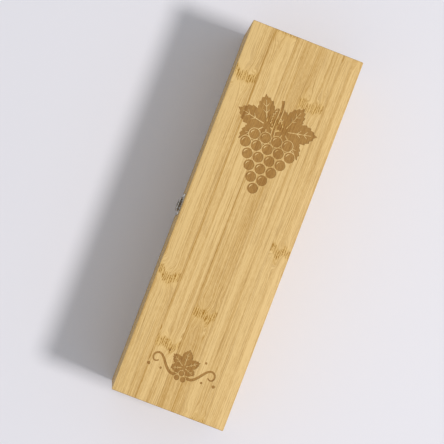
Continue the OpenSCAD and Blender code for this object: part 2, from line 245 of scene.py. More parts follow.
def long_grain():
    """Strips seen along their length: fibres, pores, glue seams, and nodes with ragged ends."""
    tree, _, output = group("bamboo_grain")
    place, moved = strip_space(tree)
    along, across, _ = parted(place)
    seed, phase, spacing = parted(own(tree, "strip"))
    tone, low_tone, high_tone = parted(own(tree, "shade"))
    edge = add(tree, "Attribute", attribute_name="edge").outputs["Fac"]
    # A node bows and drifts across its strip, and the fibres bend round it
    half = times(spacing, 1 / (2 * MM))
    from_node = calc("SUBTRACT", along, times(phase, 1 / MM))
    from_node = calc("WRAP", from_node, half, times(half, -1.0))
    bowed = times(times(edge, edge), NODE_BOW, from_node)
    straight = calc("ADD", bowed, swing(noise(moved, *NODE_DRIFT), DRIFT_REACH))
    nearby = fade(calc("ABSOLUTE", straight), *BEND_FADE)
    bend = times(swing(noise(moved, *FIBRE_BENDS), BEND_REACH), nearby)
    bent = add(tree, "CombineXYZ", {1: bend}).outputs[0]
    bent = add(tree, "VectorMath", (moved, bent), operation="ADD").outputs[0]
    fibres = noise(bent, *FIBRES)
    streaks = noise(bent, *STREAKS)
    pores = fade(noise(bent, *PORES), *PORE_FADE)
    flecks = noise(bent, *FLECKS)
    # Tone: 0 is the palest bamboo and 1 the most amber
    amount = calc("ADD", times(fibres, *FIBRE_TONE), tone)
    amount = calc("ADD", amount, swing(streaks, STREAK_TONE))
    amount = calc("ADD", amount, swing(noise(bent, *PATCHES), PATCH_TONE))
    amount = calc("ADD", amount, swing(flecks, FLECK_TONE))
    low_side = times(fade(times(edge, -1.0), *SIDE_FADE), low_tone)
    dark_sides = times(fade(edge, *SIDE_FADE), high_tone, low_side)
    amount = calc("ADD", amount, times(dark_sides, times(streaks, SIDE_STREAKS)), clamp=True)
    color = tint(amount, PALE, AMBER)
    # Nodes: a ragged band of dark and pale ticks with a pale halo
    ragged = swing(noise(moved, *NODE_RAGS), RAG_REACH)
    band = fade(calc("ABSOLUTE", calc("ADD", straight, ragged)), *BAND_FADE)
    halo = fade(calc("ABSOLUTE", straight), *HALO_FADE)
    comb = calc("SINE", times(across, TICKS_PER_MM, times(noise(moved, *TICK_SWAY), SWAY_REACH)))
    comb = calc("ADD", comb, swing(noise(moved, *TICK_LENGTHS), LENGTH_REACH))
    breaks = noise(moved, *TICK_BREAKS)
    dark_tick = times(times(band, fade(comb, *DARK_FADE)), fade(breaks, *BREAK_FADE))
    pale_tick = times(band, fade(calc("ADD", comb, breaks), *PALE_FADE))
    bold = times(calc("FRACT", times(seed, BOLD_DRAW)), *BOLDNESS)
    seam = glue_seam(edge)
    for mask, share, mark in (
        (pores, PORE_SHARE, SEAM_BROWN),
        (halo, HALO_SHARE, HALO),
        (band, BAND_SHARE, AMBER),
        (pale_tick, PALE_SHARE, HALO),
        (dark_tick, bold, NODE_BROWN),
        (seam, GLUE_SHARE, SEAM_BROWN),
    ):
        color = tint(times(mask, share), color, mark)
    rough = summed(WOOD_ROUGH, ((fibres, FIBRE_ROUGH), (pores, PORE_ROUGH)))
    height = summed(0.0, zip((fibres, pores, flecks, dark_tick, seam), WOOD_RELIEF))
    close(output, color, rough, height)
    return tree


# Sawn ends: the dots of the fibres, and how they crowd towards one face of each layer
DOTS_PER_MM, DOT_CHANCE = 1.7, 0.75
LAYER_WAVE, LAYERS_PER_MM = 0.3, 0.125
DOT_CROWDING = -0.22
DOT_FADE = (0.26, 0.1)
DOT_SHARE, END_GLUE_SHARE = 0.6, 0.5
END_ROUGH, DOT_ROUGH = 0.55, 0.15
END_RELIEF = (-0.6, -0.7)


def end_grain():
    """Strips seen on their sawn ends: dark dots of fibre, closer together towards one face."""
    tree, _, output = group("bamboo_ends")
    place, moved = strip_space(tree)
    flat = add(tree, "VectorMath", (moved, (0.0, 1.0, 1.0)), operation="MULTIPLY").outputs[0]
    edge = add(tree, "Attribute", attribute_name="edge").outputs["Fac"]
    layers = times(noise(flat, *END_WAVES), LAYER_WAVE, times(parted(place)[2], LAYERS_PER_MM))
    crowd = fade(calc("FRACT", layers), 0.0, 1.0)
    sockets = {"Vector": flat, "Scale": DOTS_PER_MM, "Randomness": DOT_CHANCE}
    dots = add(tree, "TexVoronoi", sockets).outputs["Distance"]
    fibre = fade(times(crowd, DOT_CROWDING, dots), *DOT_FADE)
    seam = glue_seam(edge)
    color = tint(noise(flat, *END_MOTTLE), END_PALE, AMBER)
    color = tint(times(fibre, DOT_SHARE), color, END_FIBRE)
    color = tint(times(seam, END_GLUE_SHARE), color, SEAM_BROWN)
    rough = times(fibre, DOT_ROUGH, END_ROUGH)
    close(output, color, rough, summed(0.0, zip((seam, fibre), END_RELIEF)))
    return tree


def finish_of(name, tree, metallic, shine, relief, strength, values=()):
    """A material that takes its colour, roughness and relief from a shader group."""
    material = bpy.data.materials.new(name)
    material.use_nodes = True
    nodes = material.node_tree
    shader = nodes.nodes["Principled BSDF"]
    shader.inputs["Metallic"].default_value = metallic
    shader.inputs["Specular IOR Level"].default_value = shine
    look = add(nodes, "Group", node_tree=tree)
    for key, value in values:
        look.inputs[key].default_value = value
    bump = add(nodes, "Bump", {"Strength": strength, "Distance": relief, "Height": look.outputs["Height"]})
    nodes.links.new(look.outputs["Color"], shader.inputs["Base Color"])
    nodes.links.new(look.outputs["Roughness"], shader.inputs["Roughness"])
    nodes.links.new(bump.outputs["Normal"], shader.inputs["Normal"])
    return material


grain_group = long_grain()
bamboo_long = finish_of("bamboo_long_grain", grain_group, **WOOD)
bamboo_ends = finish_of("bamboo_end_grain", end_grain(), **WOOD)


class Strip:
    """One bamboo strip of a board: its sides, seed, nodes, and its tone along and at each side."""

    def __init__(self, low, high, chance, phase=None, spacing=None, tones=None):
        self.low, self.high = low, high
        self.seed = chance.random()
        self.phase = chance.uniform(-NODE_SHIFT, NODE_SHIFT) if phase is None else phase
        self.spacing = chance.uniform(*NODE_SPACING) if spacing is None else spacing
        drawn = [chance.uniform(*TONE_RANGE), 0.0, chance.uniform(0, SIDE_TONE), chance.uniform(0, SIDE_TONE)]
        self.tone, self.slope, self.low_tone, self.high_tone = tones or drawn


def rip(low, high, seed, offset=0.0):
    """Fills a board from low to high with strips. The first may be cut narrower by an offset."""
    chance = random.Random(seed)
    sides = [low]
    while sides[-1] < high - NARROWEST:
        sides.append(sides[-1] + STRIP_WIDTH - (offset if len(sides) == 1 else 0))
    sides[-1] = high
    return [Strip(a, b, chance) for a, b in zip(sides, sides[1:])]


def on_outside(vert):
    """The outer planes of the whole box that a vertex lies on."""
    return {
        (axis, side)
        for axis in range(3)
        for side, plane in enumerate((outer_low, outer_high))
        if abs(vert.co[axis] - plane[axis]) < HAIR
    }


def mark_strips(bm, strips, axes):
    """Writes on every face corner where it lies in its strip, for the bamboo shaders."""
    vectors = bm.loops.layers.float_vector
    grain, strip_data, shade = (vectors.new(name) for name in ("grain", "strip", "shade"))
    edge = bm.loops.layers.float.new("edge")
    for face in bm.faces:
        middle = face.calc_center_median()[axes[1]]
        strip = min(strips, key=lambda s: max(s.low - middle, middle - s.high, 0))
        half, centre = (strip.high - strip.low) / 2, (strip.high + strip.low) / 2
        # The board's own sides are sawn, not glued
        least = -SAWN if strip is strips[0] else -1.0
        most = SAWN if strip is strips[-1] else 1.0
        flat = abs(face.normal[axes[1]]) < SIDE_FACING
        for loop in face.loops:
            along, across, depth = (loop.vert.co[axis] for axis in axes)
            loop[grain] = (along, across - centre, depth)
            loop[strip_data] = (strip.seed, strip.phase, strip.spacing)
            loop[shade] = (strip.tone + strip.slope * along, strip.low_tone, strip.high_tone)
            loop[edge] = max(least, min(most, (across - centre) / half)) if flat else 0.0


def to_object(name, bm, body, materials, replaced, sharp=SHARP_ANGLE):
    """Turns a mesh into a piece of the scene that rides on a body and stands for a CAD node."""
    bmesh.ops.dissolve_degenerate(bm, edges=bm.edges[:], dist=SPECK)
    bmesh.ops.recalc_face_normals(bm, faces=bm.faces[:])
    mesh = bpy.data.meshes.new(name)
    bm.to_mesh(mesh)
    bm.free()
    mesh.shade_smooth()
    mesh.set_sharp_from_angle(angle=sharp)
    for material in materials:
        mesh.materials.append(material)
    piece = bpy.data.objects.new(name, mesh)
    bpy.context.scene.collection.objects.link(piece)
    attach(piece, body)
    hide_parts(replaced)


def round_edges(bm, edges, width, segments):
    """Rounds edges by a width in a number of steps."""
    bmesh.ops.bevel(bm, geom=edges, offset=width, affect="EDGES", segments=segments, profile=0.5,
                    material=-1, clamp_overlap=True)


def sharp_edges(bm, angle=CORNER_ANGLE):
    """The edges where two faces meet at more than an angle."""
    return [e for e in bm.edges if e.is_manifold and e.calc_face_angle() > angle]


def ease_board(bm):
    """Rounds the arrises of the whole box and breaks every other sharp edge of one board."""
    bm.normal_update()
    outer = [e for e in bm.edges if len(on_outside(e.verts[0]) & on_outside(e.verts[1])) > 1]
    round_edges(bm, outer, ARRIS, ARRIS_STEPS)
    bm.normal_update()
    rim = [e for e in sharp_edges(bm) if all(abs(v.co.z - SEAM) < HAIR for v in e.verts)]
    round_edges(bm, rim, RIM_EASED, RIM_STEPS)
    # The lid and the base bear on each other only here and there, so the seam is a dark hairline
    middle = sum(v.co.z for v in bm.verts) / len(bm.verts)
    for vert in bm.verts:
        if abs(vert.co.z - SEAM) < HAIR:
            vert.co.z += math.copysign(RIM_GAP, middle - SEAM)
    bm.normal_update()
    round_edges(bm, sharp_edges(bm), EASED, EASED_STEPS)


def board(node, flat, axes, strips, body, carve=None, marks=()):
    """A board. A flat shape along and across the grain is made solid, ripped at the sides of its
    strips and eased, and then something may be carved into it."""
    corner_low, corner_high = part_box(node)
    thickness = corner_high[axes[2]] - corner_low[axes[2]]
    bm = flat if isinstance(flat, bmesh.types.BMesh) else bmesh.new()
    if bm is not flat:
        bm.faces.new([bm.verts.new((along, across, 0)) for along, across in flat])
    grown = bmesh.ops.extrude_face_region(bm, geom=bm.faces[:])["geom"]
    upper = [g for g in grown if isinstance(g, bmesh.types.BMVert)]
    bmesh.ops.translate(bm, vec=(0, 0, thickness), verts=upper)
    underside = [f for f in bm.faces if all(v.co.z < thickness / 2 for v in f.verts)]
    bmesh.ops.dissolve_faces(bm, faces=underside, use_verts=True)
    for face in bm.faces:
        if any(v.co.z < thickness / 2 for v in face.verts):
            face.material_index = 0
    for strip in strips[1:]:
        bmesh.ops.bisect_plane(bm, geom=bm.verts[:] + bm.edges[:] + bm.faces[:], dist=SPECK,
                               plane_co=(0, strip.low, 0), plane_no=(0, 1, 0))
    turned = Matrix([[float(axes[column] == row) for column in range(3)] for row in range(3)]).to_4x4()
    lift = Matrix.Translation((0, 0, corner_low[axes[2]]))
    bmesh.ops.transform(bm, matrix=turned @ lift, verts=bm.verts)
    bmesh.ops.recalc_face_normals(bm, faces=bm.faces[:])
    ease_board(bm)
    bm.normal_update()
    for face in bm.faces:
        if abs(face.normal[axes[0]]) > END_FACING:
            face.material_index = 1
    if carve:
        carve(bm)
    bm.normal_update()
    mark_strips(bm, strips, axes)
    to_object(node + "_board", bm, body, [bamboo_long, bamboo_ends, *marks], node)


def extent(node, axes):
    """Where a board starts and ends along and across the grain."""
    low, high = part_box(node)
    return [(low[axis], high[axis]) for axis in axes[:2]]


def rectangle(node, axes):
    """The outline of a plain board."""
    (a0, a1), (b0, b1) = extent(node, axes)
    return [(a0, b0), (a1, b0), (a1, b1), (a0, b1)]


floor_strips = rip(outer_low.y, outer_high.y, FLOOR_SEED)
board("base_floor", rectangle("base_floor", PANEL), PANEL, floor_strips, "base")

# ---------------------------------------------------------------------------------------------
# Base walls: four boards of the same bamboo, 8 mm thick, stood on edge with the fibres level.
# Their ends are cut into square fingers that mesh at the corners, glued and sanded flush.
LONG = (0, 2, 1)
END = (1, 2, 0)
BASE_FINGERS = 7
BASE_SEED = 20
STAGGER = 4 * MM
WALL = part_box("base_front")[1].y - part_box("base_front")[0].y


def fingered(node, axes, count, first):
    """The outline of a wall whose two ends have every second finger cut away, from first on."""
    (a0, a1), (b0, b1) = extent(node, axes)
    pitch = (b1 - b0) / count
    left, right = [], []
    for step in range(count):
        depth = WALL if step % 2 == first else 0
        for side in (step, step + 1):
            left.append((a0 + depth, b0 + side * pitch))
            right.append((a1 - depth, b0 + side * pitch))
    return left + right[::-1]


def walls(nodes, count, body, seed):
    """Two long walls and two end walls of the base or the lid."""
    for number, node in enumerate(nodes):
        axes, first = (LONG, 1) if number < 2 else (END, 0)
        low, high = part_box(node)
        strips = rip(low.z, high.z, seed + number, offset=number * STAGGER)
        board(node, fingered(node, axes, count, first), axes, strips, body)


walls(["base_front", "base_back", "base_left_end", "base_right_end"], BASE_FINGERS, "base", BASE_SEED)

# ---------------------------------------------------------------------------------------------
# Bottle rests: two boards glued across the base. Each has a round notch, sawn with a hole saw
# and sanded, that holds the neck or the body of a bottle lying down.
NOTCH_STEPS = 40
BOTTLE_AXIS = 50 * MM
# Each rest's notch radius and seed
RESTS = {"neck_rest": (16 * MM, 31), "body_rest": (39 * MM, 32)}


def notched(node, radius):
    """The outline of a rest: a board with a round notch in its upper edge."""
    low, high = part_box(node)
    rise = high.z - BOTTLE_AXIS
    lip = math.asin(rise / radius) if rise < 0 else 0
    turns = [lip - (math.pi + 2 * lip) * step / NOTCH_STEPS for step in range(NOTCH_STEPS + 1)]
    notch = [(radius * math.cos(turn), BOTTLE_AXIS + radius * math.sin(turn)) for turn in turns]
    if rise > 0:
        notch = [(radius, high.z)] + notch + [(-radius, high.z)]
    return [(low.y, low.z), (high.y, low.z), (high.y, high.z)] + notch + [(low.y, high.z)]


for rest, (radius, seed) in RESTS.items():
    rest_low, rest_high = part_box(rest)
    board(rest, notched(rest, radius), END, rip(rest_low.z, rest_high.z, seed), "base")

# ---------------------------------------------------------------------------------------------
# Hinge leaves on the base: pressed nickel-plated steel, 0.8 mm thick. Two countersunk holes are
# punched in each, and the tabs are rolled round the pin, which they grip.
SHEET_EDGE, SHEET_STEPS = 0.12, 2
LEAF = 0.8
LEAF_HALF = 13.0
LEAF_REACH = 11.0
LEAF_CORNER = 1.8
LEAF_RELIEF = 1.75
LEAF_ANGLE = math.radians(60)
KNUCKLES = 5
KNUCKLE_GAP = 0.15
TAB_ROOT = 0.2
ROLL_GAP = 0.3
ROLL_SHEET = 0.74
ROLL_TURN, ROLL_STEPS = math.radians(292), 20
SCREW_ROW = 6.375
SCREW_PITCH = 16.0
SCREW_HEAD = 1.7
SCREW_ROOM = 0.06
SCREW_SHANK = 0.9
SCREW_LENGTH = 6.0
SCREW_STEPS = 28
SCREW_EDGE = 0.06
SCREW_ANGLE = math.radians(40)
# Below the head's face, a screw's radius and height where its outline changes
SCREW_STAGES = (
    (SCREW_HEAD, -0.12),
    (SCREW_SHANK, -0.9),
    (SCREW_SHANK, 1 - SCREW_LENGTH),
    (0.08, -SCREW_LENGTH),
)
COUNTERSINK = 0.55
CROSS_ARM, CROSS_HALF, CROSS_DEPTH, CROSS_TAPER = 1.0, 0.26, 0.7, 0.45
NEAR = 0.01
METAL_ANGLE = math.radians(38)
BASE_SCREW_SEED = 60
# Places on the back and the front are in millimetres across, out and up from the seam. STAND
# sets a flat drawing upright on a wall, and SIDEWAYS sets it square to the wall.
ON_BACK = Matrix.Translation((0, outer_high.y, SEAM)) @ Matrix.Scale(MM, 4)
ON_FRONT = Matrix.Translation((0, outer_low.y, SEAM)) @ Matrix.Rotation(math.pi, 4, "Z") @ Matrix.Scale(MM, 4)
STAND = Matrix(((1, 0, 0, 0), (0, 0, 1, 0), (0, 1, 0, 0), (0, 0, 0, 1)))
SIDEWAYS = Matrix(((0, 0, 1, 0), (1, 0, 0, 0), (0, 1, 0, 0), (0, 0, 0, 1)))

# The plating's noises per metre: rubbed scratches, finger marks and specks
RUBBED = ((900.0, 900.0, 6500.0), 2, 0.6)
SMUDGES = ((130.0, 130.0, 130.0), 2, 0.5)
SPECKS = ((2600.0, 2600.0, 2600.0), 1)
RUBBED_FADE, SMUDGE_FADE, SPECK_FADE = (0.45, 0.7), (0.4, 0.75), (0.7, 0.78)
SPECK_SHARE = 0.3
SMUDGE_ROUGH, RUBBED_ROUGH = 0.2, 0.07
METAL_RELIEF = (-0.2, 0.5)
NICKEL = swatch(182, 178, 172)
TARNISH = swatch(86, 79, 69)
PLATED = {"metallic": 1.0, "shine": 0.5, "relief": 0.006 * MM, "strength": 0.4}


def plating():
    """Nickel plating: bright, with fine rubbed scratches, and duller in old finger marks."""
    tree, inputs, output = group("plating", ("Bright Roughness", "Dullness"))
    bright, dullness = inputs.outputs["Bright Roughness"], inputs.outputs["Dullness"]
    place = add(tree, "TexCoord").outputs["Object"]
    rubbed = noise(place, *RUBBED)
    speck = noise(place, *SPECKS)
    dull = times(fade(noise(place, *SMUDGES), *SMUDGE_FADE), dullness)
    color = tint(dull, NICKEL, TARNISH)
    color = tint(times(fade(speck, *SPECK_FADE), SPECK_SHARE), color, TARNISH)
    rough = summed(bright, ((dull, SMUDGE_ROUGH), (fade(rubbed, *RUBBED_FADE), RUBBED_ROUGH)))
    close(output, color, rough, summed(0.0, zip((speck, rubbed), METAL_RELIEF)))
    return tree


plating_group = plating()


def plated(name, roughness, dullness):
    """A nickel finish with its own roughness where it is bright and dullness in finger marks."""
    values = (("Bright Roughness", roughness), ("Dullness", dullness))
    return finish_of(name, plating_group, values=values, **PLATED)


hinge_plating = plated("hinge_plating", roughness=0.24, dullness=0.5)
screw_plating = plated("screw_plating", roughness=0.22, dullness=0.6)


def circle(radius, count, x=0.0, y=0.0):
    """The outline of a circle."""
    turns = [2 * math.pi * step / count for step in range(count)]
    return [(x + radius * math.cos(turn), y + radius * math.sin(turn)) for turn in turns]


def rounded(x0, y0, x1, y1, radius, steps=5):
    """The outline of a rectangle with round corners."""
    outline = []
    for quarter, (x, y) in enumerate(((x1, y1), (x0, y1), (x0, y0), (x1, y0))):
        inward_x = -radius if x == x1 else radius
        inward_y = -radius if y == y1 else radius
        for step in range(steps + 1):
            turn = math.pi / 2 * (quarter + step / steps)
            outline.append((x + inward_x + radius * math.cos(turn), y + inward_y + radius * math.sin(turn)))
    return outline


# Of the triangulation's kinds of output, the one that gives valid faces within the outlines
VALID_FACES = 4
MEETING = 1e-6


def painted(shapes, scale=1.0):
    """A flat mesh of outlines laid over each other in turn. A face keeps the mark of the last
    outline over it, and the mark None cuts it away."""
    points, rings = [], []
    for outline, _ in shapes:
        area = sum(a[0] * b[1] - a[1] * b[0] for a, b in zip(outline, outline[1:] + outline[:1]))
        rings.append(range(len(points), len(points) + len(outline)))
        points += [Vector(point) for point in (outline if area > 0 else outline[::-1])]
    rings = [list(ring) for ring in rings]
    corners, _, faces, _, _, covers = delaunay_2d_cdt(points, [], rings, VALID_FACES, MEETING)
    bm = bmesh.new()
    verts = [bm.verts.new((x * scale, y * scale, 0)) for x, y in corners]
    for face, cover in zip(faces, covers):
        mark = shapes[max(cover)][1] if cover else None
        if mark is not None:
            bm.faces.new([verts[corner] for corner in face]).material_index = mark
    bmesh.ops.delete(bm, geom=[v for v in bm.verts if not v.link_faces], context="VERTS")
    return bm


def raised(bm, geom, way):
    """Extrudes faces, or edges, by a vector and returns the new vertices. Faces cut out of a
    larger sheet leave their place, and a whole sheet stays as the far side of the new solid."""
    if isinstance(geom[0], bmesh.types.BMFace):
        whole = set(geom)
        joined = any(face not in whole for old in geom for e in old.edges for face in e.link_faces)
        grown = bmesh.ops.extrude_face_region(bm, geom=geom)["geom"]
        if joined:
            bmesh.ops.delete(bm, geom=geom, context="FACES")
    else:
        grown = bmesh.ops.extrude_edge_only(bm, edges=geom)["geom"]
    verts = [g for g in grown if isinstance(g, bmesh.types.BMVert)]
    bmesh.ops.translate(bm, vec=way, verts=verts)
    return verts


def swung(bm, face, centre, axis, angle, steps):
    """Sweeps a face round an axis and returns the face at the far end."""
    swept = bmesh.ops.spin(bm, geom=[face, *face.edges, *face.verts], cent=centre, axis=axis, angle=angle,
                           steps=steps)["geom_last"]
    return [g for g in swept if isinstance(g, bmesh.types.BMFace)]


def soften(bm, width=SHEET_EDGE, steps=SHEET_STEPS, angle=CORNER_ANGLE):
    """Breaks every sharp edge of a metal piece."""
    bmesh.ops.recalc_face_normals(bm, faces=bm.faces[:])
    round_edges(bm, sharp_edges(bm, angle), width, steps)


def gather(parts):
    """Joins several meshes into one, each put in its place by its own matrix."""
    whole = bmesh.new()
    for part, matrix in parts:
        bmesh.ops.transform(part, matrix=matrix, verts=part.verts)
        bmesh.ops.recalc_face_normals(part, faces=part.faces[:])
        mesh = bpy.data.meshes.new("part")
        part.to_mesh(mesh)
        part.free()
        whole.from_mesh(mesh)
        bpy.data.meshes.remove(mesh)
    return whole


def metal_piece(node, kind, parts, body, finish):
    """Joins the parts of a metal piece that stands for a node. Its kind ends its name."""
    to_object(f"{node}_{kind}", gather(parts), body, [finish], node, METAL_ANGLE)


def open_edges(bm):
    """The edges with a face on one side only."""
    return [e for e in bm.edges if e.is_boundary]


def hinge_leaf(first, way, pin_out):
    """A leaf in X and height from the pin: way is 1 if it reaches up and -1 if it reaches down."""
    pitch = 2 * LEAF_HALF / KNUCKLES
    far, near = LEAF_REACH * way, LEAF_RELIEF * way
    outline = []
    # The plate's corners are round at its far side and square beside the knuckles
    for x, y in rounded(-LEAF_HALF, min(far, near), LEAF_HALF, max(far, near), LEAF_CORNER):
        if abs(y) < LEAF_RELIEF + LEAF_CORNER:
            x, y = math.copysign(LEAF_HALF, x), near
        outline.append((x, y))
    outline = [point for step, point in enumerate(outline) if point != outline[step - 1]]
    shapes = [(outline, 0)]
    for step in range(first, KNUCKLES, 2):
        x0 = -LEAF_HALF + step * pitch + KNUCKLE_GAP / 2
        x1 = x0 + pitch - KNUCKLE_GAP
        root = near + TAB_ROOT * way
        shapes.append(([(x0, 0), (x1, 0), (x1, root), (x0, root)], 0))
    holes = [(x, SCREW_ROW * way) for x in (-SCREW_PITCH / 2, SCREW_PITCH / 2)]
    shapes += [(circle(SCREW_HEAD + SCREW_ROOM, SCREW_STEPS, *hole), None) for hole in holes]
    bm = painted(shapes)
    raised(bm, bm.faces[:], (0, 0, LEAF))
    bmesh.ops.transform(bm, matrix=STAND, verts=bm.verts)
    # Countersink the holes towards the wall
    for x, up in holes:
        centre = Vector((x, 0, up))
        rim = [v for v in bm.verts if v.co.y < NEAR and (v.co - centre).length < SCREW_HEAD + 2 * SCREW_ROOM]
        space = Matrix.Translation(-centre)
        bmesh.ops.scale(bm, vec=(COUNTERSINK, 1, COUNTERSINK), space=space, verts=rim)
    bmesh.ops.recalc_face_normals(bm, faces=bm.faces[:])
    # Roll each tab round the pin
    ends = [f for f in bm.faces if all(abs(v.co.z) < NEAR for v in f.verts)]
    for vert in {v for face in ends for v in face.verts}:
        vert.co.y = ROLL_GAP + (ROLL_SHEET if vert.co.y > LEAF / 2 else 0)
    for face in ends:
        swung(bm, face, (0, pin_out, 0), (way, 0, 0), ROLL_TURN, ROLL_STEPS)
    soften(bm, angle=LEAF_ANGLE)
    return bm


def screw(turn):
    """A countersunk screw with a crossed recess: head at height 0, point downward."""
    near, far = CROSS_HALF, CROSS_ARM
    cross = [(near, near), (near, far), (-near, far), (-near, near), (-far, near), (-far, -near),
             (-near, -near), (-near, -far), (near, -far), (near, -near), (far, -near), (far, near)]
    bm = painted([(circle(SCREW_HEAD, SCREW_STEPS), 0), (cross, 1)])
    recess = raised(bm, [f for f in bm.faces if f.material_index], (0, 0, -CROSS_DEPTH))
    bmesh.ops.scale(bm, vec=(CROSS_TAPER, CROSS_TAPER, 1), verts=recess)
    for face in bm.faces:
        face.material_index = 0
    radius, height = SCREW_HEAD, 0.0
    for new_radius, new_height in SCREW_STAGES:
        verts = raised(bm, open_edges(bm), (0, 0, new_height - height))
        bmesh.ops.scale(bm, vec=(new_radius / radius, new_radius / radius, 1), verts=verts)
        radius, height = new_radius, new_height
    bmesh.ops.holes_fill(bm, edges=open_edges(bm), sides=SCREW_STEPS)
    bmesh.ops.rotate(bm, matrix=Matrix.Rotation(turn, 3, "Z"), verts=bm.verts)
    soften(bm, SCREW_EDGE, 1, SCREW_ANGLE)
    return bm


def hinge_side(kind, first, way, body, chance):
    """The leaf of each hinge on one side of the seam, and the four screws of both."""
    screws = []
    for hinge in ("left", "right"):
        pin_low, pin_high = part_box(hinge + "_hinge_pin")
        middle = (pin_low + pin_high) / 2 / MM
        pin_out = middle.y - outer_high.y / MM
        leaf = hinge_leaf(first, way, pin_out)
        place = ON_BACK @ Matrix.Translation((middle.x, 0, 0))
        node = f"{hinge}_hinge_{kind}_leaf"
        metal_piece(node, "pressed", [(leaf, place)], body, hinge_plating)
        for side in (-1, 1):
            hole = Matrix.Translation((side * SCREW_PITCH / 2, LEAF, SCREW_ROW * way))
            screws.append((screw(chance.uniform(0, math.pi)), place @ hole @ STAND))
    metal_piece(f"hinge_{kind}_screws", "set", screws, body, screw_plating)


hinge_side("base", 0, -1, "base", random.Random(BASE_SCREW_SEED))

# ---------------------------------------------------------------------------------------------
# Hinge pins: short lengths of bright steel wire, cut and tumbled so that the ends are rounded,
# and held by the knuckles of the base leaves.
PIN_DOME = 0.25
DOME_SHARE = 0.3
TURNED_STEPS = 28
WELD = 1e-4
pin_polish = plated("pin_polish", roughness=0.16, dullness=0.25)


def lathe(profile):
    """Turns a profile of radii and heights round Z and closes it."""
    bm = bmesh.new()
    points = [bm.verts.new((radius, 0, height)) for radius, height in profile]
    edges = [bm.edges.new(pair) for pair in zip(points, points[1:])]
    bmesh.ops.spin(bm, geom=points + edges, cent=(0, 0, 0), axis=(0, 0, 1), angle=2 * math.pi,
                   steps=TURNED_STEPS, use_merge=True)
    bmesh.ops.remove_doubles(bm, verts=bm.verts[:], dist=WELD)
    bmesh.ops.holes_fill(bm, edges=open_edges(bm), sides=TURNED_STEPS)
    bmesh.ops.recalc_face_normals(bm, faces=bm.faces[:])
    return bm


def wire_pin(node, body, end):
    """A pin as long as its node, lying across the box, turned from the profile of its end."""
    low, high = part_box(node)
    length = (high.x - low.x) / MM
    profile = end + [(radius, length - height) for radius, height in end[::-1]]
    place = Matrix.Translation((low.x, (low.y + high.y) / 2, (low.z + high.z) / 2))
    turned = [(lathe(profile), place @ Matrix.Scale(MM, 4) @ SIDEWAYS)]
    metal_piece(node, "wire", turned, body, pin_polish)


def tumbled(node):
    """The profile of a pin's cut end, rounded by tumbling."""
    low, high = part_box(node)
    radius = (high.z - low.z) / 2 / MM
    inset = PIN_DOME * DOME_SHARE
    return [(0, 0), (radius - PIN_DOME, 0), (radius - inset, inset), (radius, PIN_DOME)]


for node in ("left_hinge_pin", "right_hinge_pin"):
    wire_pin(node, "base", tumbled(node))

# ---------------------------------------------------------------------------------------------
# Lid walls: four low boards of the same bamboo, jointed like the base's. They stand on the base
# walls edge to edge, so that the closed box shows one straight seam all round.
LID_FINGERS = 3
LID_SEED = 80
walls(["lid_front", "lid_back", "lid_left_end", "lid_right_end"], LID_FINGERS, "lid", LID_SEED)

# ---------------------------------------------------------------------------------------------
# Lid top: a flat bamboo panel of five strips, glued on the lid's walls and sanded with them. Its
# ornament of grapes, vine leaves and berries is burnt in and lies a little below the surface.

# From the latch side on, each strip's far side, one of its nodes and their spacing, and its
# tone: overall, change along the box, at its near side and at its far side
STRIPS = [
    (21.2, -128, 193.5, (0.22, 0.3, 0.0, 0.15)),
    (42.8, 123.5, 305, (0.2, 0.5, 0.75, 0.05)),
    (64.6, -96, 185, (0.44, 0.2, 0.2, 0.0)),
    (88, -123.5, 305, (0.26, 0.0, 0.05, 0.1)),
    (107, 9, 195, (0.24, -0.15, 0.25, 0.3)),
]
TOP_SEED = 50
chance = random.Random(TOP_SEED)
top_strips = []
near_side = outer_low.y
for far_side, node_place, node_spacing, tones in STRIPS:
    strip_side = outer_low.y + far_side * MM
    top_strips.append(Strip(near_side, strip_side, chance, node_place * MM, node_spacing * MM, tones))
    near_side = strip_side

# The burnt wood, as the mark of its faces, its depth and its colours
BURNT = 2
BURN_DEPTH = 0.35 * MM
BURN_TINT = (0.61, 0.49, 0.31, 1)
BURN_BROWN = swatch(126, 85, 42)
EVEN_PALE, EVEN_SHARE = swatch(212, 176, 114), 0.35
CHAR = ((0.25, 1.6, 1.6), 3, 0.6)
CHAR_FADE = (0.35, 0.72, 0.0, 0.5)
CHAR_ROUGH, CHAR_RELIEF = 0.22, 1.2


def scorched():
    """The grain burnt brown, deepest in the soft lines between the fibres."""
    tree, _, output = group("scorched")
    wood = add(tree, "Group", node_tree=grain_group).outputs
    depth = noise(strip_space(tree)[1], *CHAR)
    even = tint(EVEN_SHARE, wood["Color"], EVEN_PALE)
    color = tint(fade(depth, *CHAR_FADE), tint(1.0, even, BURN_TINT, "MULTIPLY"), BURN_BROWN)
    rough = calc("ADD", wood["Roughness"], CHAR_ROUGH)
    close(output, color, rough, times(depth, CHAR_RELIEF, wood["Height"]))
    return tree


burnt_bamboo = finish_of("burnt_bamboo", scorched(), **WOOD)


def curve(start, pull_start, pull_end, end, steps=16):
    """Points of a smooth curve between two ends, led by two pulls."""
    points = []
    for step in range(steps + 1):
        t = step / steps
        weights = ((1 - t) ** 3, 3 * t * (1 - t) ** 2, 3 * t * t * (1 - t), t ** 3)
        pulls = zip(weights, (start, pull_start, pull_end, end))
        points.append(sum((weight * Vector(pull) for weight, pull in pulls), Vector((0, 0))))
    return points


def traced(points, width_at):
    """The outline of a line. width_at gives its width from the share of it that is drawn."""
    left, right = [], []
    last = len(points) - 1
    for step, point in enumerate(points):
        way = (points[min(step + 1, last)] - points[max(step - 1, 0)]).normalized()
        side = Vector((-way.y, way.x)) * width_at(step / last) / 2
        left.append(point + side)
        right.append(point - side)
    return [tuple(point) for point in left + right[::-1]]


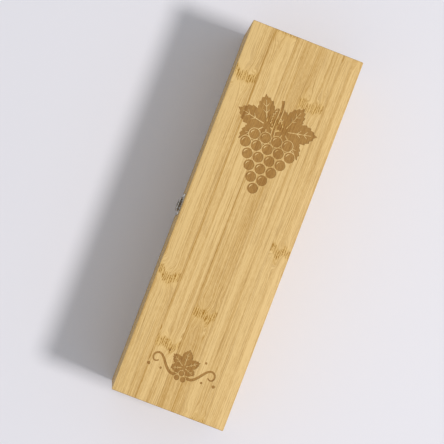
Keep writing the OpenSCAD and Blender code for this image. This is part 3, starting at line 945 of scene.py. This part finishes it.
def stroke(points, start_width, end_width):
    """The outline of a line that tapers from one width to another."""
    return traced(points, lambda share: start_width + (end_width - start_width) * share)


# A vine leaf, in degrees from its tip and shares of its size: how far its lobes reach, and how
# far its edge is from the stalk on either side
LOBES = ((0, 1.0), (56, 0.92), (-56, 0.92), (110, 0.7), (-110, 0.7))
LEAF_EDGE = (
    (0, 1.0), (8, 0.89), (16, 0.82), (24, 0.72), (30, 0.6), (38, 0.72), (47, 0.83), (56, 0.92), (63, 0.83),
    (72, 0.74), (84, 0.54), (94, 0.64), (103, 0.69), (110, 0.72), (120, 0.62), (134, 0.56), (148, 0.47),
    (160, 0.37), (168, 0.22), (180, 0.05),
)
TOOTH_SPAN, TOOTH_DEPTH, TOOTH_GROWTH = 8.0, 0.11, 1.5
LEAF_STEP = 2
BUNCH_LEAF = 31.0
SPARED = 0.9
VEIN_ROOT, VEIN_REACH = 0.12, (0.45, 0.82)
VEIN_WIDTHS = (1.1, 0.45)
SIDE_VEINS = (0.4, 0.6)
SIDE_VEIN_WIDTHS = (0.75, 0.35)
SIDE_VEIN_TURN, SIDE_VEIN_LENGTH = math.radians(45), 0.15


def leaf_edge(degrees):
    """How far the leaf's toothed edge is from its stalk, as a share of its size."""
    off = abs(degrees)
    for (low, near), (high, far) in zip(LEAF_EDGE, LEAF_EDGE[1:]):
        if low <= off <= high:
            reach = near + (far - near) * (off - low) / (high - low)
            break
    tooth = abs((off / TOOTH_SPAN + 0.5) % 1 - 0.5) * TOOTH_DEPTH
    return reach - tooth * min(1, reach * TOOTH_GROWTH)


def vine_leaf(stalk, lean, size):
    """A lobed leaf, burnt, with its veins and a thin line round it spared."""
    fine = math.sqrt(size / BUNCH_LEAF)

    def at(turn, reach):
        return stalk + Vector((math.cos(turn + lean), math.sin(turn + lean))) * reach * size

    shapes = []
    for mark, spared in ((0, SPARED / size), (BURNT, 0)):
        turns = range(LEAF_STEP - 180, 180, LEAF_STEP)
        shapes.append(([tuple(at(math.radians(turn), leaf_edge(turn) + spared)) for turn in turns], mark))
    for lobe, length in LOBES:
        middle = math.radians(lobe)
        vein = [at(middle, VEIN_ROOT)] + [at(middle, length * share) for share in VEIN_REACH]
        shapes.append((stroke(vein, *(width * fine for width in VEIN_WIDTHS)), 0))
        for share in SIDE_VEINS:
            for side in (-1, 1):
                root = at(middle, length * share)
                way = middle + lean + side * SIDE_VEIN_TURN
                tip = root + Vector((math.cos(way), math.sin(way))) * size * SIDE_VEIN_LENGTH * length
                vein = [root, (root + tip) / 2, tip]
                shapes.append((stroke(vein, *(width * fine for width in SIDE_VEIN_WIDTHS)), 0))
    return shapes


def berry(radius, spared, steps, x, y):
    """A round berry with a thin line round it spared."""
    return [(circle(radius + spared, steps, x, y), 0), (circle(radius, steps, x, y), BURNT)]


def placed(shapes, along):
    """Turns a part of the ornament with its upper end to the left and moves it along the lid."""
    return [([(along - v, u) for u, v in outline], mark) for outline, mark in shapes]


# The bunch, drawn across and up: leaves, stem, and rows of grapes with a glint on each
BUNCH_PLACE = -70
BUNCH_ROWS = (4, 5, 4, 3, 2, 1)
GRAPE, GRAPE_SPARED, GRAPE_STEPS = 4.9, 0.65, 36
GRAPE_PITCH, TOP_ROW = 10.6, 12.0
ROW_PITCH = 0.88 * GRAPE_PITCH
GLINT = [math.radians(degrees) for degrees in range(100, 200, 10)]
GLINT_RADIUS, GLINT_WIDTH = GRAPE * 0.66, 1.0
GLINT_END = 0.02
LEAF_OUT, LEAF_UP, LEAF_LEAN = 8.0, 23.0, math.radians(78)
STEM = curve((0, 15), (-2.5, 26), (2.5, 37), (-2, 49))
STEM_WIDTHS = (1.8, 2.6)


def glint_width(share):
    """A glint swells to its width in the middle and ends in points."""
    return GLINT_WIDTH * math.sin(math.pi * (GLINT_END + (1 - 2 * GLINT_END) * share))


bunch = []
for side in (-1, 1):
    root = Vector((side * LEAF_OUT, LEAF_UP))
    bunch += vine_leaf(root, math.pi / 2 - side * LEAF_LEAN, BUNCH_LEAF)
bunch.append((stroke(STEM, *(width + 2 * SPARED for width in STEM_WIDTHS)), 0))
bunch.append((stroke(STEM, *STEM_WIDTHS), BURNT))
row_up = TOP_ROW
for count in BUNCH_ROWS:
    for step in range(count):
        across = (step - (count - 1) / 2) * GRAPE_PITCH
        bunch += berry(GRAPE, GRAPE_SPARED, GRAPE_STEPS, across, row_up)
        middle = Vector((across, row_up))
        glint = [middle + GLINT_RADIUS * Vector((math.cos(turn), math.sin(turn))) for turn in GLINT]
        bunch.append((traced(glint, glint_width), 0))
    row_up -= ROW_PITCH

# The sprig: two tendrils with dots, each given by its radius and place, a leaf and three berries
SPRIG_PLACE = 136
SPRIG_STALK, SPRIG_LEAF = Vector((0, -1)), 17.0
SPRIG_BERRIES = ((0, -6.8), (-2.9, -11.6), (2.9, -11.6))
BERRY, BERRY_SPARED, BERRY_STEPS = 2.5, 0.5, 28
TENDRIL = ((4, -8.5), (15, -15), (19, 8), (27, 3.5))
TENDRIL_CURL, CURL_STEPS = ((27, 3.5), (32, 0.5), (28, -7), (23.5, -2.5)), 9
TENDRIL_WIDTHS = (2.8, 1.2)
DOTS, DOT_STEPS = ((1.5, 31, -8.0), (1.1, 19.5, -8.5), (1.1, 17.5, 9.5)), 24
sprig = []
for side in (-1, 1):
    tendril = curve(*((side * x, y) for x, y in TENDRIL))
    tendril += curve(*((side * x, y) for x, y in TENDRIL_CURL), CURL_STEPS)[1:]
    sprig.append((stroke(tendril, *TENDRIL_WIDTHS), BURNT))
    sprig += [(circle(radius, DOT_STEPS, side * x, y), BURNT) for radius, x, y in DOTS]
sprig += vine_leaf(SPRIG_STALK, math.pi / 2, SPRIG_LEAF)
for spot in SPRIG_BERRIES:
    sprig += berry(BERRY, BERRY_SPARED, BERRY_STEPS, *spot)


def burn(bm):
    """Sinks the burnt faces a little into the wood."""
    raised(bm, [f for f in bm.faces if f.material_index == BURNT], (0, 0, -BURN_DEPTH))
    for face in bm.faces:
        beside = any(f.material_index == BURNT for e in face.edges for f in e.link_faces)
        if beside and face.normal.z < SIDE_FACING:
            face.material_index = BURNT


edge_of_top = [(x / MM, y / MM) for x, y in rectangle("lid_top", PANEL)]
top_flat = painted([(edge_of_top, 0)] + placed(bunch, BUNCH_PLACE) + placed(sprig, SPRIG_PLACE), MM)
board("lid_top", top_flat, PANEL, top_strips, "lid", burn, [burnt_bamboo])

# ---------------------------------------------------------------------------------------------
# Hinge leaves on the lid: the same pressed steel as the base's, turned over and screwed on in
# the same way. Each has two knuckles, which turn on the pin.
LID_SCREW_SEED = 61
hinge_side("lid", 1, 1, "lid", random.Random(LID_SCREW_SEED))

# ---------------------------------------------------------------------------------------------
# Catch plate: nickel-plated steel sheet nailed to the lid. The strip cut out of its window is
# folded forward and rolled up into the hook that the bail pulls on.
SHEET = 0.6
PLATE_HALF = 10.4
NAIL_PLACE = 8.5
NAIL_ROOM, NAIL_HOLE_STEPS = 0.68, 20
CATCH_LOW, CATCH_HIGH, CATCH_HALF, CATCH_CORNER = 2.0, 13.0, 5.5, 1.0
LOBE_RADIUS, LOBE_STEPS = 3.2, 12
CATCH_MIDDLE = 7.5
HOOK_HALF, HOOK_LOW, HOOK_WINDOW = 3.2, 4.45, 10.6
WINDOW_CORNER, WINDOW_STEPS = 0.4, 3
BAR_OUT, BAR_UP = 2.75, 6.0
HOOK_STEPS = 8
LIP = 0.35
latch_plating = plated("latch_plating", roughness=0.18, dullness=0.85)


def punched(shapes, nail_spots):
    """A flat sheet with holes for its nails."""
    holes = [(circle(NAIL_ROOM, NAIL_HOLE_STEPS, *spot), None) for spot in nail_spots]
    plate = painted(shapes + holes)
    raised(plate, plate.faces[:], (0, 0, SHEET))
    soften(plate)
    return plate


def folded_hook():
    """The strip that stands out from the plate, is rolled up and ends in a short lip."""
    hook = bmesh.new()
    corners = ((-HOOK_HALF, 0), (HOOK_HALF, 0), (HOOK_HALF, SHEET), (-HOOK_HALF, SHEET))
    root = hook.faces.new([hook.verts.new((x, SHEET / 2, HOOK_LOW + up)) for x, up in corners])
    tip = raised(hook, [root], (0, BAR_OUT - SHEET / 2, 0))
    end = next(f for f in hook.faces if all(v in tip for v in f.verts))
    rolled = swung(hook, end, (0, BAR_OUT, BAR_UP), (1, 0, 0), math.pi / 2, HOOK_STEPS)
    raised(hook, rolled, (0, 0, LIP))
    soften(hook)
    return hook


catch_nails = [(x, CATCH_MIDDLE) for x in (-NAIL_PLACE, NAIL_PLACE)]
lobe_low, lobe_high = CATCH_MIDDLE - LOBE_RADIUS, CATCH_MIDDLE + LOBE_RADIUS
plate = punched([
    (rounded(-CATCH_HALF, CATCH_LOW, CATCH_HALF, CATCH_HIGH, CATCH_CORNER), 0),
    (rounded(-PLATE_HALF, lobe_low, PLATE_HALF, lobe_high, LOBE_RADIUS, LOBE_STEPS), 0),
    (rounded(-HOOK_HALF, HOOK_LOW + SHEET, HOOK_HALF, HOOK_WINDOW, WINDOW_CORNER, WINDOW_STEPS), None),
], catch_nails)
catch = [(plate, ON_FRONT @ STAND), (folded_hook(), ON_FRONT)]
metal_piece("latch_catch_plate", "pressed", catch, "lid", latch_plating)

# ---------------------------------------------------------------------------------------------
# Latch nails: round-headed steel nails, plated like the latch. Two hold the catch plate to the
# lid's front wall and four hold the base plate, which comes next, to the base's.
NAIL_HEAD, NAIL_DOME, NAIL_EDGE = 1.7, 1.1, 0.05
NAIL_SHANK, NAIL_LENGTH, NAIL_POINT = 0.6, 6.0, 1.2
DOME_STEPS = 9
nail_plating = plated("nail_plating", roughness=0.15, dullness=0.3)


def nail():
    """A nail along Z, its head seated at height 0 and its point downward."""
    turns = [math.pi / 2 * (1 - step / DOME_STEPS) for step in range(1, DOME_STEPS + 1)]
    profile = [(0, NAIL_DOME)] + [(NAIL_HEAD * math.cos(turn), NAIL_DOME * math.sin(turn)) for turn in turns]
    shank = [(NAIL_SHANK, 0), (NAIL_SHANK, NAIL_POINT - NAIL_LENGTH), (0, -NAIL_LENGTH)]
    return lathe(profile + [(NAIL_HEAD - NAIL_EDGE, 0)] + shank)


def nails(node, spots, body):
    """A plate's nails, at places across and up from the seam."""
    parts = [(nail(), ON_FRONT @ Matrix.Translation((x, SHEET, up)) @ STAND) for x, up in spots]
    metal_piece(node, "set", parts, body, nail_plating)


nails("latch_catch_nails", catch_nails, "lid")

# ---------------------------------------------------------------------------------------------
# Latch base plate: the same sheet, nailed at its corners. Two ears are cut from its window and
# folded forward to hold the lever's pin, and the window makes room for the bail's eyes.
BASE_LOW, BASE_HIGH, BASE_CORNER = -26.5, -9.5, 2.2
WINDOW_HALF, WINDOW_LOW, WINDOW_HIGH = 6.55, -16.93, -13.1
PIVOT_OUT, PIVOT_UP = 2.0, -12.0
EAR_PLACE, EAR_HALF, EAR_RADIUS, EAR_STEPS, EAR_EDGE = 3.0, 0.4, 0.95, 28, 0.1
BASE_NAILS = [(x, up) for x in (-NAIL_PLACE, NAIL_PLACE) for up in (-12.3, -23.7)]
ear_low, ear_high = PIVOT_UP - EAR_RADIUS, PIVOT_UP + EAR_RADIUS
# An ear, drawn in out and up: a square root that ends in a round
EAR = [
    ([(SHEET / 2, ear_low), (PIVOT_OUT, ear_low), (PIVOT_OUT, ear_high), (SHEET / 2, ear_high)], 0),
    (circle(EAR_RADIUS, EAR_STEPS, PIVOT_OUT, PIVOT_UP), 0),
]


def sideways(shapes, across, thickness, edge, place):
    """A part cut from a sheet that stands across the box, and where it goes."""
    part = painted(shapes)
    raised(part, part.faces[:], (0, 0, thickness))
    soften(part, edge)
    return part, place @ Matrix.Translation((across - thickness / 2, 0, 0)) @ SIDEWAYS


plate = punched([
    (rounded(-PLATE_HALF, BASE_LOW, PLATE_HALF, BASE_HIGH, BASE_CORNER), 0),
    (rounded(-WINDOW_HALF, WINDOW_LOW, WINDOW_HALF, WINDOW_HIGH, WINDOW_CORNER, WINDOW_STEPS), None),
], BASE_NAILS)
parts = [(plate, ON_FRONT @ STAND)]
parts += [sideways(EAR, side * EAR_PLACE, 2 * EAR_HALF, EAR_EDGE, ON_FRONT) for side in (-1, 1)]
metal_piece("latch_base_plate", "pressed", parts, "base", latch_plating)
nails("latch_base_nails", BASE_NAILS, "base")
wire_pin("latch_lever_pin", "base", tumbled("latch_lever_pin"))

# ---------------------------------------------------------------------------------------------
# Latch lever: sheet steel with its sides folded back into two flanges that turn on the pin. The
# web dips towards the plate and its rounded tail lifts again, so that a finger gets under it.
LEVER_HALF = 4.2
WEB_TOP = 0.9
LEVER_LENGTH = 19.0
TAIL_RADIUS, TAIL_CENTRE, TAIL_STEPS = 6.2, -13.2, 30
WEB_STAND, WEB_DIP, WEB_LIFT = 1.1, 1.1, 1.0
DIP_FROM, DIP_TO, LIFT_FROM = 0.25, 0.7, 0.72
WEB_STEPS = 36
WEB_EDGE, WEB_EDGE_STEPS = 0.24, 3
FLANGE_RADIUS, FLANGE_ROUND, FLANGE_EDGE = 1.2, 32, 0.1
FLANGE_SHARE, FLANGE_STEPS = 0.6, 24
CRANK_ARM, CRANK_BACK = 3.6, math.radians(6)
CRANK = -CRANK_ARM * Vector((math.sin(CRANK_BACK), math.cos(CRANK_BACK)))


def eased(share):
    """A share between 0 and 1, with a soft start and end."""
    share = max(0.0, min(1.0, share))
    return share * share * (3 - 2 * share)


def web_up(share):
    """The height from the pivot at a share of the web's length from its top."""
    return WEB_TOP - share * (LEVER_LENGTH + WEB_TOP)


def web_inside(up):
    """How far out the web's inner face is at a height from the pivot."""
    share = (WEB_TOP - up) / (LEVER_LENGTH + WEB_TOP)
    dip = WEB_DIP * eased((share - DIP_FROM) / (DIP_TO - DIP_FROM))
    return WEB_STAND - dip + WEB_LIFT * eased((share - LIFT_FROM) / (1 - LIFT_FROM))


def lever_web():
    """The web: straight sides and a rounded tail, dished along its length."""
    shoulder = math.acos(LEVER_HALF / TAIL_RADIUS)
    tail = []
    for step in range(TAIL_STEPS):
        turn = shoulder - (shoulder + math.pi / 2) * step / TAIL_STEPS
        rise = math.sin(turn) * (TAIL_RADIUS if turn > 0 else LEVER_LENGTH + TAIL_CENTRE)
        tail.append((TAIL_RADIUS * math.cos(turn), TAIL_CENTRE + rise))
    tail += [(0, -LEVER_LENGTH)] + [(-x, up) for x, up in tail[::-1]]
    web = painted([([(-LEVER_HALF, WEB_TOP), (LEVER_HALF, WEB_TOP)] + tail, 0)])
    for step in range(1, WEB_STEPS):
        bmesh.ops.bisect_plane(web, geom=web.verts[:] + web.edges[:] + web.faces[:], dist=WELD,
                               plane_co=(0, web_up(step / WEB_STEPS), 0), plane_no=(0, 1, 0))
    raised(web, web.faces[:], (0, 0, SHEET))
    for vert in web.verts:
        vert.co.z += web_inside(vert.co.y)
    soften(web, WEB_EDGE, WEB_EDGE_STEPS)
    return web


pivot = ON_FRONT @ Matrix.Translation((0, PIVOT_OUT, PIVOT_UP))
crank_side = Vector((CRANK.y, -CRANK.x)).normalized() * FLANGE_RADIUS
shares = [FLANGE_SHARE * step / FLANGE_STEPS for step in range(FLANGE_STEPS + 1)]
fold = [(web_inside(web_up(share)) + SHEET / 2, web_up(share)) for share in shares]
flange = [
    (fold + [tuple(CRANK + crank_side), tuple(crank_side), (0, WEB_TOP)], 0),
    (circle(FLANGE_RADIUS, FLANGE_ROUND), 0),
    (circle(FLANGE_RADIUS, FLANGE_ROUND, *CRANK), 0),
]
parts = [(lever_web(), pivot @ STAND)]
parts += [sideways(flange, side * (LEVER_HALF - SHEET / 2), SHEET, FLANGE_EDGE, pivot) for side in (-1, 1)]
metal_piece("latch_lever", "pressed", parts, "lever", latch_plating)

# ---------------------------------------------------------------------------------------------
# Bail pin: bright steel wire through the lever's flanges and the bail's eyes, with both ends
# riveted over into small heads.
RIVET = 0.85
RIVETED = [(0, 0), (RIVET * 0.55, 0.03), (RIVET * 0.88, 0.14), (RIVET, 0.3), (RIVET * 0.96, 0.4), (0.5, 0.4)]
wire_pin("latch_bail_pin", "bail_pin", RIVETED)

# ---------------------------------------------------------------------------------------------
# Bail: bright steel wire bent into a loop. Its two ends are flattened and drilled into eyes that
# turn on the bail pin, and its bar is held by the hook, which gives its length and its lean.
WIRE, WIRE_STEPS = 0.65, 20
LEG_PLACE = 5.2
BEND, BEND_STEPS = 1.5, 8
FLAT_FROM, FLAT_TO = 0.8, 1.9
WIDENED = 1.15
EYE_RADIUS, EYE_STEPS = 1.15, 32
EYE_BORE, BORE_STEPS = 0.55, 24
EYE_HALF, EYE_EDGE = 0.5, 0.15
FLATTENING = Vector((EYE_HALF / WIRE, WIDENED, 1))
to_bar = Vector((BAR_OUT - PIVOT_OUT, BAR_UP - PIVOT_UP)) - CRANK
REACH = to_bar.length
LEAN = math.atan2(to_bar.x, to_bar.y)
wire_polish = plated("wire_polish", roughness=0.18, dullness=0.3)


def rim_of(bm, verts):
    """The edges that join the given vertices."""
    return [e for e in bm.edges if verts.issuperset(e.verts)]


def bent_loop():
    """The wire from eye to eye: up one leg, across the bar and down the other leg."""
    loop = bmesh.new()
    at_leg = Matrix.Translation((-LEG_PLACE, 0, 0))
    bmesh.ops.create_circle(loop, segments=WIRE_STEPS, radius=WIRE)
    bmesh.ops.scale(loop, vec=FLATTENING, verts=loop.verts)
    bmesh.ops.translate(loop, vec=(LEG_PLACE, 0, FLAT_FROM), verts=loop.verts)
    tip = raised(loop, loop.edges[:], (0, 0, FLAT_TO - FLAT_FROM))
    bmesh.ops.scale(loop, vec=[1 / factor for factor in FLATTENING], space=at_leg, verts=tip)
    tip = raised(loop, rim_of(loop, set(tip)), (0, 0, REACH - BEND - FLAT_TO))
    turn_out, turn_up = LEG_PLACE - BEND, REACH - BEND
    for side, way in ((1, (-2 * turn_out, 0, 0)), (-1, (0, 0, FLAT_TO - turn_up))):
        bent = bmesh.ops.spin(loop, geom=tip + rim_of(loop, set(tip)), cent=(side * turn_out, 0, turn_up),
                              axis=(0, -1, 0), angle=math.pi / 2, steps=BEND_STEPS)["geom_last"]
        tip = raised(loop, [g for g in bent if isinstance(g, bmesh.types.BMEdge)], way)
    tip = raised(loop, rim_of(loop, set(tip)), (0, 0, FLAT_FROM - FLAT_TO))
    bmesh.ops.scale(loop, vec=FLATTENING, space=at_leg.inverted(), verts=tip)
    bmesh.ops.holes_fill(loop, edges=open_edges(loop), sides=WIRE_STEPS)
    return loop


hang = pivot @ Matrix.Translation((0, *CRANK)) @ Matrix.Rotation(-LEAN, 4, "X")
EYE = [(circle(EYE_RADIUS, EYE_STEPS), 0), (circle(EYE_BORE, BORE_STEPS), None)]
parts = [(bent_loop(), hang)]
parts += [sideways(EYE, side * LEG_PLACE, 2 * EYE_HALF, EYE_EDGE, hang) for side in (-1, 1)]
metal_piece("latch_bail", "wire", parts, "bail", wire_polish)

# ---------------------------------------------------------------------------------------------
# Floor and light: a plain pale floor, one soft lamp high over the hinge side, and a sky that is
# brightest overhead.
FLOOR_SIZE = 6
FLOOR_TONE = swatch(227, 227, 232)
FLOOR_ROUGH, FLOOR_SHINE = 0.9, 0.1
SKY_LOW, SKY_HIGH = 0.14, 0.71
SKY_COLOR = (0.94, 0.96, 1.0, 1)
LAMP_PLACE = Vector((0.066, 2.74, 4.29))
LAMP_WIDTH = 0.9
LAMP_POWER = 163
LAMP_COLOR = (1.0, 0.965, 0.965)
floor_mesh = bpy.data.meshes.new("floor")
floor_grid = bmesh.new()
bmesh.ops.create_grid(floor_grid, x_segments=1, y_segments=1, size=FLOOR_SIZE)
floor_grid.to_mesh(floor_mesh)
floor_grid.free()
floor = bpy.data.objects.new("floor", floor_mesh)
bpy.context.scene.collection.objects.link(floor)
floor_paint = bpy.data.materials.new("floor_paint")
floor_paint.use_nodes = True
floor_shader = floor_paint.node_tree.nodes["Principled BSDF"]
floor_shader.inputs["Base Color"].default_value = FLOOR_TONE
floor_shader.inputs["Roughness"].default_value = FLOOR_ROUGH
floor_shader.inputs["Specular IOR Level"].default_value = FLOOR_SHINE
floor_mesh.materials.append(floor_paint)

lamp = bpy.data.objects.new("lamp", bpy.data.lights.new("lamp", "AREA"))
lamp.data.shape = "DISK"
lamp.data.size = LAMP_WIDTH
lamp.data.energy = LAMP_POWER
lamp.data.color = LAMP_COLOR
lamp.location = LAMP_PLACE
lamp.rotation_euler = LAMP_PLACE.to_track_quat("Z", "Y").to_euler()
bpy.context.scene.collection.objects.link(lamp)

world = bpy.data.worlds.new("sky")
world.use_nodes = True
bpy.context.scene.world = world
sky = world.node_tree
# The camera and polished metal see an even, nearly white sky
rays = add(sky, "LightPath").outputs
shown = calc("MAXIMUM", rays["Is Camera Ray"], rays["Is Glossy Ray"])
shown = calc("MAXIMUM", shown, rays["Is Transmission Ray"])
overhead = parted(add(sky, "TexCoord").outputs["Generated"])[2]
glow = add(sky, "MapRange", (overhead, 0.0, 1.0, SKY_LOW, SKY_HIGH)).outputs["Result"]
strength = add(sky, "MapRange", (shown, 0.0, 1.0, glow, 1.0)).outputs["Result"]
sky.links.new(strength, sky.nodes["Background"].inputs["Strength"])
sky.nodes["Background"].inputs["Color"].default_value = SKY_COLOR

# ---------------------------------------------------------------------------------------------
# Camera: a long lens that looks almost straight down, from a little in front of the box. The box
# stands upright in the frame, turned about 20 degrees, with its latch side to the left.
CAMERA_PLACE = Vector((63.1, -93.7, 1626)) * MM
CAMERA_AIM = Vector((2.9, -14.7, 108)) * MM
CAMERA_UP = Vector((-0.9335, -0.3585, 0))
CAMERA_LENS = 137.2
CAMERA_SENSOR = 36
CAMERA_FAR = 50
camera = bpy.data.objects.new("camera", bpy.data.cameras.new("camera"))
camera.data.lens = CAMERA_LENS
camera.data.sensor_width = CAMERA_SENSOR
camera.data.clip_end = CAMERA_FAR
view_back = (CAMERA_PLACE - CAMERA_AIM).normalized()
view_right = CAMERA_UP.cross(view_back).normalized()
view_axes = Matrix((view_right, view_back.cross(view_right), view_back)).transposed().to_4x4()
camera.matrix_world = Matrix.Translation(CAMERA_PLACE) @ view_axes
bpy.context.scene.collection.objects.link(camera)
bpy.context.scene.camera = camera
bpy.context.scene.view_settings.view_transform = "Standard"
